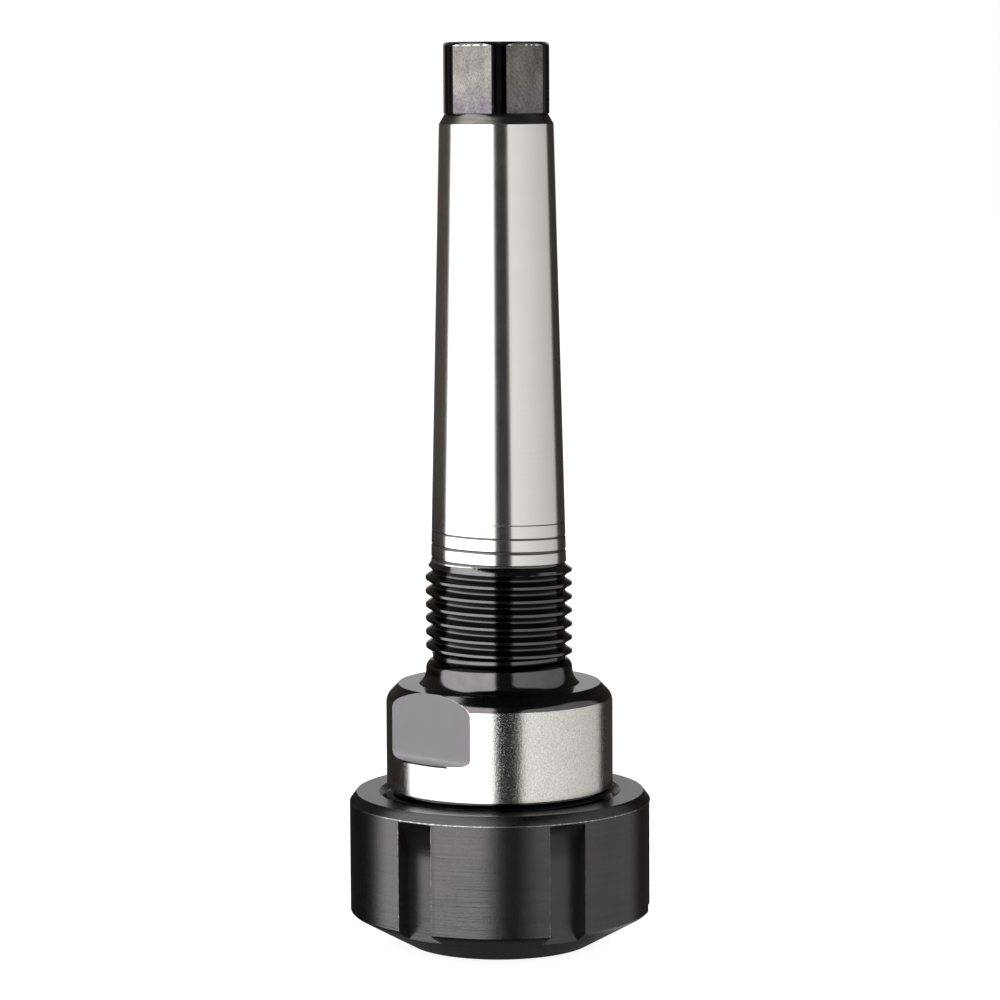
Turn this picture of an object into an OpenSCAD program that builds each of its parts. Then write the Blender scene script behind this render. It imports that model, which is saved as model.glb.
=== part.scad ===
// Spring-collet chuck that stands on the face of its clamping nut.
// The chuck's axis is Z. The nut's face is the plane z = 0 and the drive hexagon is at the top.
// The wrench flats of the body face -Y and +Y. All sizes are in millimetres.

/* [Clamping nut] */
// Outside diameter of the nut
nut_d = 42; // [40:0.5:46]
// Height of the nut
nut_h = 21.3; // [19:0.1:24]
// Diameter of the nut's flat front face
nut_face_d = 25.7; // [25:0.1:29]
// Angle of the nut's front cone, from its face
front_cone_angle = 29; // [22:1:36]
// Width of the narrow bevel between the front cone and the outside
nut_edge = 0.36; // [0.2:0.02:0.8]
// Radial width of the bevel round the nut's top
top_bevel_w = 0.87; // [0.4:0.01:1.5]
// Height of the bevel round the nut's top
top_bevel_h = 1.25; // [0.5:0.05:2]
// Number of spanner slots
slot_count = 6; // [4:1:8]
// Width of a spanner slot
slot_w = 5.35; // [4:0.05:7]
// Depth of a spanner slot
slot_depth = 2.65; // [1.5:0.05:3]
// Radius of the cutter that runs a slot out
slot_cutter_r = 8; // [6:0.5:14]
// Distance from the nut's top down to the upper end of a slot
slot_stop = 1.35; // [0.5:0.05:3]
// How far the nut's slots stand turned from the wrench flats
nut_turn = 8; // [0:1:60]

/* [Nose thread] */
// Outside diameter of the thread that the nut runs on
nose_thread_d = 32; // [30:0.5:33]
// Depth of the nose thread
nose_thread_depth = 0.9; // [0.6:0.05:1]
// Width of the relief between the nose thread and the ring
nose_relief_w = 0.35; // [0.2:0.05:1]
// Radial play between the nut's thread and the nose thread
thread_play = 0.05; // [0.02:0.01:0.1]

/* [Body ring] */
// Diameter of the ground ring above the nut
ring_d = 31.6; // [28:0.1:36]
// Gap between the nut and the ring, with the nut tight
ring_gap = 0.95; // [0.6:0.05:3]
// Height of the ring, up to its shoulder face
ring_h = 14.25; // [11:0.05:20]
// Width of the ring's shoulder bevel
shoulder_bevel = 1; // [0.4:0.1:2]
// Radius that blends the shoulder bevel into the ring
shoulder_blend_r = 2.4; // [1:0.1:4]
// Distance across the wrench flats
flats_af = 28; // [26:0.1:29]
// Height from the ring's lower edge to the foot of a wrench flat
flat_foot = 4.8; // [2:0.1:8]
// Radius of the fillet at the foot of a wrench flat
flat_fillet_r = 1; // [0.4:0.1:1.6]

/* [Neck] */
// Height of the neck, from the shoulder face to the thread's relief
neck_h = 3.5; // [3:0.1:8]
// Radius of the flare from the neck down to the shoulder
neck_flare_r = 2.7; // [2.2:0.1:4]
// Radius of the rounding from the flare up to the thread's relief
neck_round_r = 1.5; // [1.2:0.1:2.4]
// Width of the relief below the shank thread
shank_relief_w = 0.7; // [0.4:0.1:3]

/* [Shank thread] */
// Outside diameter of the left-hand shank thread
shank_thread_d = 20.4; // [19.8:0.1:22]
// Pitch of the shank thread
shank_pitch = 1.9; // [1.5:0.05:2.5]
// Root diameter of the shank thread
shank_root_d = 18.48; // [17.6:0.01:18.6]
// Width of the rounded root of the shank thread
shank_root_w = 0.34; // [0.1:0.02:0.5]
// Angle at which the groove of the shank thread starts
shank_thread_start = -108; // [-180:1:180]
// Length of the thread, from its relief to the taper
shank_thread_len = 12.9; // [8:0.1:24]
// Length of the bevel at the thread's upper end
thread_lead = 1.15; // [0.6:0.05:2]
// Number of turns that the root line runs on over the taper
track_turns = 3.5; // [1:0.5:5]

/* [Taper] */
// Diameter of the taper's big end
taper_big_d = 18.8; // [18.6:0.1:19.6]
// Length of the taper
taper_len = 60.3; // [40:0.1:80]
// Length over which the taper narrows by one
taper_ratio = 20.02; // [15:0.01:30]

/* [Drive hexagon] */
// Distance across the hexagon's flats
hex_af = 14.25; // [12:0.05:14.8]
// Diameter of the turned corners
hex_corner_d = 15.4; // [14.9:0.05:16]
// Height of the cone between the taper and the hexagon
hex_cone_h = 1.4; // [0.8:0.1:3]
// Length of the hexagon, above that cone
hex_len = 9.75; // [6:0.05:20]
// Radial width of the end bevel
hex_bevel_w = 0.75; // [0.3:0.05:1.2]
// Height of the end bevel
hex_bevel_h = 0.5; // [0.2:0.05:1.2]
// How far the hexagon stands turned from the wrench flats
hex_turn = 15; // [0:1:60]
// Diameter of the centre hole's mouth
centre_mouth_d = 6; // [4:0.1:8]
// Half angle of the centre hole's cone
centre_angle = 30; // [30:5:45]
// Diameter of the centre hole's pilot
centre_pilot_d = 2.5; // [1.5:0.1:3.5]
// Depth of the pilot
centre_pilot_depth = 6.5; // [5:0.1:10]

/* [Collet] */
// Largest diameter of the collet
collet_d = 26; // [25:0.1:26.5]
// Length of the collet
collet_len = 34; // [28:0.5:40]
// Half angle of the collet's long cone
collet_angle = 8; // [6:0.5:9]
// Diameter of the collet's bore, which holds the tool
tool_d = 10; // [4:0.5:14]
// Depth of the collet's face behind the nut's face
collet_recess = 0.5; // [0.1:0.1:0.9]
// Diameter of the collet's front face
collet_face_d = 21.2; // [20:0.1:22]
// Diameter of the collet's head
head_d = 25.4; // [24.6:0.1:25.6]
// Half angle of the pressing cone on the head
press_angle = 30; // [28:1:40]
// Length of the plain land between the pressing cone and the groove
head_land = 0.76; // [0.4:0.02:1.2]
// Width of the collet's groove
groove_w = 2.6; // [2.3:0.1:3.4]
// Diameter of the collet's groove
groove_d = 21.8; // [21:0.1:23]
// Number of slits cut from each end of the collet
slit_count = 8; // [4:1:8]
// Width of a slit
slit_w = 0.8; // [0.3:0.1:1.2]
// Length of the web that is left at the end of a slit
slit_web = 5.6; // [5:0.1:9]
// Bevel at the bore's two mouths
bore_bevel = 0.4; // [0.2:0.1:0.8]

/* [Clearances] */
// Gap between the collet's cones and their seats
seat_gap = 0.05; // [0.03:0.01:0.1]
// Least gap round the extracting lip in the nut
lip_gap = 0.2; // [0.1:0.05:0.3]
// Thickness of the extracting lip
lip_w = 1.7; // [1:0.1:1.9]
// How far the collet's big end stands out of the socket
collet_stand = 0.5; // [0.2:0.1:1.5]
// Bevel at the socket's mouth
socket_bevel = 0.4; // [0.2:0.1:0.8]
// Depth of the socket behind the collet's rear end
socket_spare = 1; // [0.5:0.1:3]
// Diameter of the clearance bore behind the collet
relief_bore_d = 11; // [9:0.5:12]
// Depth of the clearance bore behind the socket
relief_bore_len = 16; // [8:0.5:30]

/* [Hidden] */
$fn = 96;
over = 1;
thread_steps = 40;
drill_angle = 59;
flank_angle = 33;
root_rise = 0.08;
crest_over = 0.03;
cut_over = 0.3;
rim_gap = 0.02;
foot_step = 0.05;
foot_sink = 0.02;

// Heights along the axis, from the nut's face up
collet_groove_z = collet_recess + (head_d - collet_face_d) / 2 / tan(press_angle) + head_land;
collet_cone_z = collet_groove_z + groove_w;
collet_end_z = collet_recess + collet_len;
nose_z = collet_cone_z + collet_stand;
ring_z = nut_h + ring_gap;
shoulder_z = ring_z + ring_h;
neck_z = shoulder_z + neck_h;
thread_z = neck_z + shank_relief_w;
taper_z = thread_z + shank_thread_len;
taper_end_z = taper_z + taper_len;
hex_z = taper_end_z + hex_cone_h;
top_z = hex_z + hex_len;

// Radii that follow from the sizes above
nose_r = nose_thread_d / 2 - thread_play;
nose_root_r = nose_r - nose_thread_depth;
ring_r = ring_d / 2;
root_r = shank_root_d / 2;
crest_r = shank_thread_d / 2;
taper_big_r = taper_big_d / 2;
taper_end_r = taper_big_r - taper_len / taper_ratio / 2;
hex_inner_r = hex_af / 2;
hex_corner_r = hex_corner_d / 2;
hex_foot_r = hex_inner_r - foot_step;
head_r = head_d / 2;
groove_r = groove_d / 2;
lip_r = (head_r + groove_r) / 2 + lip_gap;
lip_offset = (head_r - groove_r) / 2;
lip_play = 0.25;
lip_z = collet_groove_z + lip_play;
nut_r = nut_d / 2;
nut_bore_r = nose_thread_d / 2;
mouth_r = collet_face_d / 2 + seat_gap / cos(press_angle);
room_r = lip_r + lip_offset + seat_gap;

// Radius of the collet's long cone at height z
function cone_r(z) = collet_d / 2 - (z - collet_cone_z) * tan(collet_angle);

// Points along an arc about (r, z), from angle a to angle b
function arc(r, z, radius, a, b, n = 8) =
    [for (i = [0 : n]) let (t = a + (b - a) * i / n) [r + radius * cos(t), z + radius * sin(t)]];

// The ring's shoulder: a bevel at 45 degrees whose lower edge blends into the ring
blend_drop = shoulder_blend_r * sin(45);
blend_w = shoulder_blend_r * (1 - cos(45));
function shoulder_points() = concat(
    arc(ring_r - shoulder_blend_r, shoulder_z - shoulder_bevel - blend_drop, shoulder_blend_r, 0, 45, 5),
    [[ring_r - blend_w - shoulder_bevel, shoulder_z]]);

// The neck: a flare that meets the rounding above it upright, and that rounding up to the relief
round_end = acos(1 - (crest_r - root_r) / neck_round_r);
neck_mid_z = neck_z - neck_round_r * sin(round_end);
flare_start = asin(min(0.98, (neck_mid_z - shoulder_z) / neck_flare_r));
function neck_points() = concat(
    arc(crest_r + neck_flare_r, neck_mid_z, neck_flare_r, 180 + flare_start, 180, 6),
    arc(crest_r - neck_round_r, neck_mid_z, neck_round_r, round_end / 6, round_end, 5));

// Turned outline of the body up to the hexagon, before its thread is cut
module body_blank() {
    rotate_extrude()
        polygon(concat(
            [[0, nose_z], [nose_root_r, nose_z], [nose_r, nose_z + nose_thread_depth]],
            [[nose_r, ring_z - nose_relief_w], [nose_root_r, ring_z - nose_relief_w]],
            [[nose_root_r, ring_z], [ring_r, ring_z]],
            shoulder_points(),
            neck_points(),
            [[root_r, thread_z], [crest_r, thread_z]],
            [[crest_r, taper_z - thread_lead], [taper_big_r, taper_z]],
            [[taper_end_r, taper_end_z], [hex_foot_r, hex_z + foot_sink]],
            [[hex_foot_r, hex_z + over], [0, hex_z + over]]));
}

// The groove of the left-hand shank thread: a rounded root between flanks that run out past the crest.
// Its section is carried up a helix that starts just above the neck's rim and runs on over the taper.
module shank_groove() {
    rise_r = root_r + root_rise;
    rise_w = shank_root_w / 2;
    flank_r = crest_r + crest_over;
    flank_w = rise_w + (flank_r - rise_r) * tan(flank_angle);
    out_r = crest_r + cut_over;
    section = [[root_r, 0], [rise_r, rise_w], [flank_r, flank_w], [out_r, flank_w],
        [out_r, -flank_w], [flank_r, -flank_w], [rise_r, -rise_w]];
    m = len(section);
    start_z = neck_z + flank_w + rim_gap;
    n = ceil(((taper_z - start_z) / shank_pitch + track_turns) * thread_steps);
    points = [for (i = [0 : n]) let (a = shank_thread_start - 360 * i / thread_steps)
        for (p = section) [p.x * cos(a), p.x * sin(a), start_z + shank_pitch * i / thread_steps + p.y]];
    sides = [for (i = [0 : n - 1]) for (j = [0 : m - 1])
        let (k = (j + 1) % m, a = i * m + j, b = i * m + k, c = (i + 1) * m + k, d = (i + 1) * m + j)
        each [[a, b, c], [a, c, d]]];
    first = [for (j = [0 : m - 1]) m - 1 - j];
    last = [for (j = [0 : m - 1]) n * m + j];
    polyhedron(points, concat(sides, [first, last]), convexity = 12);
}

// Milled hexagon with turned corners and a beveled end, which stands on the cone
module hex_end() {
    intersection() {
        translate([0, 0, hex_z]) rotate(hex_turn + 90)
            cylinder(r = hex_inner_r / cos(30), h = hex_len, $fn = 6);
        rotate_extrude()
            polygon([[0, hex_z - over], [hex_corner_r, hex_z - over], [hex_corner_r, top_z - hex_bevel_h],
                [hex_corner_r - hex_bevel_w, top_z], [0, top_z]]);
    }
}

// One wrench flat's cut on the -Y side, with a fillet at its foot
module flat_cut() {
    foot_z = ring_z + flat_foot;
    face_y = flats_af / 2;
    out_y = ring_r + over;
    rotate([90, 0, 90])
        linear_extrude(height = ring_d, center = true)
            polygon(concat(
                [[-out_y, foot_z]],
                [for (p = arc(-face_y - flat_fillet_r, foot_z + flat_fillet_r, flat_fillet_r, 270, 360, 6)) p],
                [[-face_y, shoulder_z + over], [-out_y, shoulder_z + over]]));
}

// Socket for the collet, with the clearance bore and its drill point behind it
module socket() {
    end_z = collet_end_z + socket_spare;
    bore_r = relief_bore_d / 2;
    bore_end = end_z + relief_bore_len;
    mouth_r = cone_r(nose_z) + seat_gap;
    rotate_extrude()
        polygon([[0, nose_z - over], [mouth_r + socket_bevel + over, nose_z - over],
            [mouth_r, nose_z + socket_bevel], [cone_r(end_z) + seat_gap, end_z], [bore_r, end_z],
            [bore_r, bore_end], [0, bore_end + bore_r / tan(drill_angle)]]);
}

// Centre hole in the hexagon's end
module centre_hole() {
    mouth_r = centre_mouth_d / 2;
    pilot_r = centre_pilot_d / 2;
    cone_end = top_z - (mouth_r - pilot_r) / tan(centre_angle);
    rotate_extrude()
        polygon([[0, top_z + over], [mouth_r + over * tan(centre_angle), top_z + over], [pilot_r, cone_end],
            [pilot_r, top_z - centre_pilot_depth],
            [0, top_z - centre_pilot_depth - pilot_r / tan(drill_angle)]]);
}

module chuck_body() {
    color([0.62, 0.61, 0.6])
        difference() {
            union() {
                body_blank();
                hex_end();
            }
            socket();
            centre_hole();
            flat_cut();
            rotate(180) flat_cut();
            shank_groove();
        }
}

// Turned outline of the nut: a front cone, a plain outside and a beveled top. Inside are the pressing
// cone, the room for the collet's head, the wall of the extracting lip and the bore for the thread.
module nut_blank() {
    cone_h = (nut_r - nut_edge - nut_face_d / 2) * tan(front_cone_angle);
    rotate_extrude()
        polygon([[mouth_r, 0], [nut_face_d / 2, 0], [nut_r - nut_edge, cone_h], [nut_r, cone_h + nut_edge],
            [nut_r, nut_h - top_bevel_h], [nut_r - top_bevel_w, nut_h],
            [nut_bore_r + nose_thread_depth, nut_h], [nut_bore_r, nut_h - nose_thread_depth],
            [nut_bore_r, lip_z + lip_w], [0, lip_z + lip_w], [0, lip_z], [room_r, lip_z],
            [room_r, collet_recess + (room_r - mouth_r) / tan(press_angle)], [mouth_r, collet_recess]]);
}

// One spanner slot on the +X side: open through the front cone, run out in an arc at the top
module slot_cut() {
    floor_r = nut_r - slot_depth;
    run_h = sqrt(pow(slot_cutter_r, 2) - pow(slot_cutter_r - slot_depth, 2));
    run_z = nut_h - slot_stop - run_h;
    translate([floor_r, -slot_w / 2, -over]) cube([slot_depth + over, slot_w, run_z + over]);
    translate([floor_r + slot_cutter_r, 0, run_z]) rotate([90, 0, 0])
        cylinder(r = slot_cutter_r, h = slot_w, center = true);
}

module clamping_nut() {
    color([0.13, 0.12, 0.12])
        difference() {
            nut_blank();
            translate([lip_offset, 0, lip_z - lip_play / 2]) cylinder(r = lip_r, h = lip_w + lip_play);
            for (i = [0 : slot_count - 1])
                rotate(nut_turn - 90 + 360 * i / slot_count) slot_cut();
        }
}

// Turned outline of the collet: head with its pressing cone, groove for the nut's lip, and long cone
module collet_blank() {
    bore_r = tool_d / 2;
    face_r = collet_face_d / 2;
    rotate_extrude()
        polygon([[bore_r + bore_bevel, collet_recess], [face_r, collet_recess],
            [head_r, collet_recess + (head_r - face_r) / tan(press_angle)], [head_r, collet_groove_z],
            [groove_r, collet_groove_z], [groove_r, collet_cone_z], [collet_d / 2, collet_cone_z],
            [cone_r(collet_end_z - bore_bevel), collet_end_z - bore_bevel],
            [cone_r(collet_end_z) - bore_bevel, collet_end_z], [bore_r + bore_bevel, collet_end_z],
            [bore_r, collet_end_z - bore_bevel], [bore_r, collet_recess + bore_bevel]]);
}

// The slits alternate: each second one is cut from the front face, and the others from the rear end
module collet() {
    slit_h = collet_len - slit_web + over;
    color([0.72, 0.72, 0.7])
        difference() {
            collet_blank();
            for (i = [0 : slit_count - 1]) {
                rotate(360 * i / slit_count)
                    translate([0, -slit_w / 2, collet_recess - over]) cube([collet_d, slit_w, slit_h]);
                rotate(360 * (i + 0.5) / slit_count)
                    translate([0, -slit_w / 2, collet_recess + slit_web]) cube([collet_d, slit_w, slit_h]);
            }
        }
}

chuck_body();
clamping_nut();
collet();
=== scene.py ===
import math

import bpy
import bmesh
import numpy as np
from mathutils import Matrix, Vector


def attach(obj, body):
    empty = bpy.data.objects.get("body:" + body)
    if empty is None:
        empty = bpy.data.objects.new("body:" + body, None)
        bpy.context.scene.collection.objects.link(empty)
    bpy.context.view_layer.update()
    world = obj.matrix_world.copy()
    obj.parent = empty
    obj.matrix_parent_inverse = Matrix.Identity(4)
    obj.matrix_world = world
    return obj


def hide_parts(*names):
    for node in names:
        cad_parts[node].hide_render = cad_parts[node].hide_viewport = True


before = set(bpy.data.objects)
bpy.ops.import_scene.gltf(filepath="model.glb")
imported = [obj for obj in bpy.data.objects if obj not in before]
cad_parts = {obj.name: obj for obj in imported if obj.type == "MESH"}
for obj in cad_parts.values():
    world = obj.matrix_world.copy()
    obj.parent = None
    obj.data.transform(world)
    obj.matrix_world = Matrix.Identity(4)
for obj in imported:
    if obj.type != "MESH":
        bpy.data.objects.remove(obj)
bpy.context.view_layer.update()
print("frame loaded:", sorted(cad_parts))

mm = 0.001  # the part's sizes below are in millimetres, Blender's are metres
farOut = 1e3  # farther out than any radius of the part, where a flat or a floor doesn't cut

# The camera: where the photograph was taken from, in millimetres and degrees
shot = {
    "azimuth": 42.0,        # from -Y towards +X
    "distance": 521.0,      # from the chuck's axis
    "height": 118.75,
    "pitch": 6.2167,        # downwards
    "yaw": 0.0258,          # the chuck stands a little left of the middle
    "roll": 0.31,
    "lens": 136.04,
    "sensor": 36.0,
    "near": 0.02,           # clipping, in metres
    "far": 20.0,
}


# Camera axes: forward points at the chuck and down by the pitch, right is level, up is right x forward;
# yaw turns the camera to its right and roll turns it clockwise.
def makeCamera(s):
    az, pitch = math.radians(s["azimuth"]), math.radians(s["pitch"])
    side = Matrix.Rotation(math.radians(-s["yaw"]), 3, "Z")
    forward = side @ Vector((-math.sin(az) * math.cos(pitch), math.cos(az) * math.cos(pitch),
                             -math.sin(pitch)))
    right = forward.cross(Vector((0, 0, 1))).normalized()
    up = right.cross(forward)
    turn = Matrix((right, up, -forward)).transposed() @ Matrix.Rotation(math.radians(-s["roll"]), 3, "Z")
    data = bpy.data.cameras.new("photoCamera")
    data.lens, data.sensor_width = s["lens"], s["sensor"]
    data.clip_start, data.clip_end = s["near"], s["far"]
    camera = bpy.data.objects.new("photoCamera", data)
    place = Vector((math.sin(az) * s["distance"], -math.cos(az) * s["distance"], s["height"])) * mm
    camera.matrix_world = Matrix.Translation(place) @ turn.to_4x4()
    bpy.context.scene.collection.objects.link(camera)
    bpy.context.scene.camera = camera


makeCamera(shot)
bpy.context.scene.view_settings.view_transform = "Standard"
print("camera set")


# A socket with arithmetic: a + b, a * b, 1 - a and the like each add one Math node to the same finish
class Signal:
    def __init__(self, tree, socket=None):
        self.tree, self.socket = tree, socket

    # any node: its type, its settings, which are set first, and the values or links of its sockets
    def node(self, kind, settings=None, inputs=None, out=0):
        made = self.tree.nodes.new(kind)
        for key, value in (settings or {}).items():
            setattr(made, key, value)
        for key, value in (inputs or {}).items():
            if isinstance(value, Signal):
                self.tree.links.new(value.socket, made.inputs[key])
            else:
                made.inputs[key].default_value = value
        return Signal(self.tree, made.outputs[out]) if made.outputs else made

    def calc(self, operation, first, second=0.0):
        return self.node("ShaderNodeMath", {"operation": operation}, {0: first, 1: second})

    def __add__(self, other):
        return self.calc("ADD", self, other)

    def __radd__(self, other):
        return self.calc("ADD", other, self)

    def __sub__(self, other):
        return self.calc("SUBTRACT", self, other)

    def __rsub__(self, other):
        return self.calc("SUBTRACT", other, self)

    def __mul__(self, other):
        return self.calc("MULTIPLY", self, other)

    def __rmul__(self, other):
        return self.calc("MULTIPLY", other, self)

    def __truediv__(self, other):
        return self.calc("DIVIDE", self, other)

    def __pow__(self, other):
        return self.calc("POWER", self, other)

    def __abs__(self):
        return self.calc("ABSOLUTE", self)


# Smooth step: 0 below low, 1 above high, and the other way round if low is above high
def rise(value, low, high):
    if low > high:
        return 1 - rise(value, high, low)
    return value.node("ShaderNodeMapRange", {"interpolation_type": "SMOOTHSTEP"},
                      {"Value": value, "From Min": low, "From Max": high, "To Min": 0.0, "To Max": 1.0})


# A hump of half width `half` about `middle`, 1 inside and fading over `soft`
def hump(value, middle, half, soft):
    return rise(abs(value - middle), half + soft, half)


# The coordinates of the piece itself
def ownPlace(finish):
    return finish.node("ShaderNodeTexCoord", None, None, "Object")


# x, y and z in millimetres
def placeOn(finish):
    split = finish.node("ShaderNodeSeparateXYZ", None, {0: ownPlace(finish)})
    return [Signal(finish.tree, split.socket.node.outputs[i]) / mm for i in range(3)]


# The distance from the axis, the root of x * x + y * y, and the angle about it, from +X towards +Y
def placeRound(finish, x, y):
    return finish.calc("SQRT", x * x + y * y), finish.calc("ARCTAN2", y, x)


# How far a signal is from the nearest whole number, with its sign
def fromWhole(value):
    return value - value.calc("ROUND", value)


# Noise about 0.5 whose grains measure 1 / density millimetres along each axis
def grain(finish, density, detail=2.0, roughness=0.5, seed=0.0):
    scaled = finish.node("ShaderNodeMapping", None,
                         {"Vector": ownPlace(finish), "Location": (seed, seed * 0.7, seed * 1.3),
                          "Scale": tuple(d / mm for d in density)})
    return finish.node("ShaderNodeTexNoise", None,
                       {"Vector": scaled, "Scale": 1.0, "Detail": detail, "Roughness": roughness})


# What a colour socket takes: a signal as it is, or three numbers with their alpha
def asColour(colour):
    return colour if isinstance(colour, Signal) else (*colour, 1.0)


# A colour from a, where the factor is 0, to b, where it is 1
def mixColour(finish, factor, a, b):
    return finish.node("ShaderNodeMix", {"data_type": "RGBA"}, {0: factor, 6: asColour(a), 7: asColour(b)}, 2)


# Brightens or darkens a colour by a factor socket
def shade(finish, colour, factor):
    grey = finish.node("ShaderNodeCombineColor", None, {0: factor, 1: factor, 2: factor})
    return finish.node("ShaderNodeMix", {"data_type": "RGBA", "blend_type": "MULTIPLY"},
                       {0: 1.0, 6: asColour(colour), 7: grey}, 2)


# A new material with no nodes yet, and the signal that adds them
def startFinish(name):
    material = bpy.data.materials.new(name)
    material.use_nodes = True
    material.node_tree.nodes.clear()
    return material, Signal(material.node_tree)


# Closes a finish. Colour, roughness and metallic are sockets or plain values, and where a height is
# given, from 0 to 1, its bump stands `bump` millimetres high.
def endFinish(finish, colour, roughness, height=None, bump=0.0, metallic=1.0):
    inputs = {"Base Color": asColour(colour), "Roughness": roughness, "Metallic": metallic}
    if height is not None:
        inputs["Normal"] = finish.node("ShaderNodeBump", None,
                                       {"Height": height, "Strength": 1.0, "Distance": bump * mm})
    shader = finish.node("ShaderNodeBsdfPrincipled", None, inputs)
    finish.node("ShaderNodeOutputMaterial", None, {"Surface": shader})


# The body: sizes as in the part's source, in millimetres and degrees
bodySize = {
    "noseZ": 7.9973, "noseR": 15.95, "noseRootR": 15.05, "nosePitch": 1.5, "noseRootW": 0.3,
    "noseFlank": 30.0, "noseCrest": (0.05, 0.075, 0.02), "noseInset": 0.2,
    "ringZ": 22.25, "ringR": 15.8, "relief": 0.35, "shoulderZ": 36.5, "blendR": 2.4, "blendTo": 45.0,
    "bevel": 1.0, "faceInset": 0.12, "groundTop": 34.6,
    "flatY": 14.0, "flatFoot": 27.05, "flatFillet": 1.0, "flatWorn": 0.35, "ledgeShadow": 0.26, "ledgeShadowShare": 0.8,
    "neckZ": 38.6, "flareR": 2.7, "rimR": 1.5, "rimStep": 0.05, "rimMiddle": 39.72, "rimTop": 40.66,
    "rootR": 9.24, "crestR": 10.2, "threadZ": 40.7, "leadZ": 52.45, "pitch": 1.9, "rootZ": 51.845,
    "rootAt": -48.0, "rootRound": 0.27, "crestRound": 0.11, "flank": 33.0, "trackEnd": 60.6, "trackR": 0.2,
    "taperZ": 53.6, "taperR": 9.4, "taperEndZ": 113.9, "taperEndR": 7.894, "taperSlope": 0.02498,
    "hexZ": 115.3, "hexR": 7.125, "cornerR": 7.7, "hexAt": -75.0, "hexMiddle": 14.0, "hexWorn": 0.6,
    "hexConeIn": 0.02, "hexFootIn": 0.04, "cornerFootIn": 0.12, "hexFootRise": 0.1,
    "hexBevelZ": 124.55, "hexBevelR": 6.95, "topZ": 125.05, "topInset": 0.6, "millX": -16.0, "millZ": 111.0,
    "mouthR": 3.0, "centreAngle": 30.0, "pilotR": 1.25, "pilotZ": 118.55, "drillAngle": 59.0,
    "colletR": 13.0, "colletZ": 7.4973, "colletAngle": 8.0, "seatGap": 0.05, "socketBevel": 0.4,
    "socketEnd": 35.5, "boreR": 5.5, "boreEnd": 51.5,
}
black, ground, milled, coned, blasted, bright, inside = range(7)  # the body's finishes, in slot order


# Columns round the axis, in degrees: the edges of the hexagon's flats and of the wrench flats, with
# even steps between them
def bodyColumns(s, step):
    hexEdge = math.degrees(math.acos(s["hexR"] / s["cornerR"]))
    flatEdge = math.degrees(math.acos(s["flatY"] / s["ringR"]))
    marks = [s["hexAt"] + 60 * k + side * a for k in range(6) for side in (-1, 1)
             for a in (0, s["hexMiddle"], hexEdge - s["hexWorn"], hexEdge)]
    marks += [c + side * a for c in (90, 270) for side in (-1, 1)
              for a in (flatEdge - s["flatWorn"], flatEdge)]
    marks = np.unique(np.round(np.concatenate([np.mod(marks, 360), [0, 360]]), 6))
    pieces = [np.linspace(a, b, max(1, math.ceil((b - a) / step - 0.05)), endpoint=False)
              for a, b in zip(marks[:-1], marks[1:])]
    return np.append(np.concatenate(pieces), 360.0), hexEdge, flatEdge


# Angle from the nearest flat's normal, where the flats stand `period` apart from `first`
def fromNormal(theta, first, period):
    return np.mod(theta - first + period / 2, period) - period / 2


# Moves columns: the angle from the nearest normal is read off the broken line knots -> values, so that
# the columns that mark an edge follow it from row to row
def bendColumns(theta, first, period, knots, values):
    off = fromNormal(theta, first, period)
    return theta - off + np.sign(off) * np.interp(np.abs(off), knots, values)


# The middle of each face, which starts at its own column: a face's finish is chosen there
def faceMiddles(theta):
    return (theta + np.append(theta[1:], theta[-1])) / 2


# Rows of a turned form: each (r, z) pair is one full circle
def turnedRows(points, theta, finish):
    p = np.array(points, float)
    ones = np.ones_like(theta)
    return {"theta": np.tile(theta, (len(p), 1)), "r": p[:, :1] * ones, "z": p[:, 1:] * ones,
            "finish": np.full((len(p), len(theta)), finish)}


# Points of an arc about (r, z), from angle a to b in degrees
def arcPoints(r, z, radius, a, b, n):
    t = np.radians(np.linspace(a, b, n + 1))
    return np.column_stack([r + radius * np.cos(t), z + radius * np.sin(t)])


# Straight points from a to b, both ends included
def linePoints(a, b, n):
    return np.linspace(a, b, n + 1)


# Depth profile of a thread over the distance from its root line: a rounded root, a straight flank and
# a rounded edge to the crest
def grooveProfile(rootR, crestR, rootRound, crestRound, flank, pitch, arcPointCount=4):
    turn = math.radians(90 - flank)
    root = [(rootRound * math.sin(a), rootR + rootRound * (1 - math.cos(a)))
            for a in np.linspace(0, turn, arcPointCount)]
    flankFrom, flankR = root[-1]
    corner = flankFrom + (crestR - flankR) * math.tan(math.radians(flank))
    reach = crestRound * math.tan(turn / 2)
    crest = [(corner + reach - crestRound * math.sin(a), crestR - crestRound * (1 - math.cos(a)))
             for a in np.linspace(turn, 0, arcPointCount)]
    return np.array(root + crest + [(pitch / 2, crestR)])


# Rows of a threaded band between heights z0 and z1. A row keeps its distance from the root line, so it
# falls or climbs by one pitch in a turn, and is held between z0 and z1. Its radius is the smaller of
# the blank's and the groove's.
def threadRows(theta, z0, z1, blank, profile, pitch, hand, rootZ, rootAt, finish):
    dist = np.concatenate([-profile[:0:-1, 0], profile[:-1, 0]])
    climb = hand * pitch * (theta - rootAt) / 360
    first = math.floor((z0 - rootZ - climb.max()) / pitch) - 1
    last = math.ceil((z1 - rootZ - climb.min()) / pitch) + 1
    offsets = (np.arange(first, last + 1)[:, None] * pitch + dist).ravel()
    z = rootZ + offsets[:, None] + climb
    keep = np.where((z.max(1) > z0) & (z.min(1) < z1))[0]
    z = np.clip(z[max(keep[0] - 1, 0):keep[-1] + 2], z0, z1)
    off = np.mod((z - rootZ - climb) / pitch + 0.5, 1) - 0.5
    r = np.minimum(np.interp(z, *blank), np.interp(np.abs(off) * pitch, profile[:, 0], profile[:, 1]))
    return {"theta": np.tile(theta, (len(z), 1)), "r": r, "z": z, "finish": np.full(z.shape, finish)}


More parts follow.
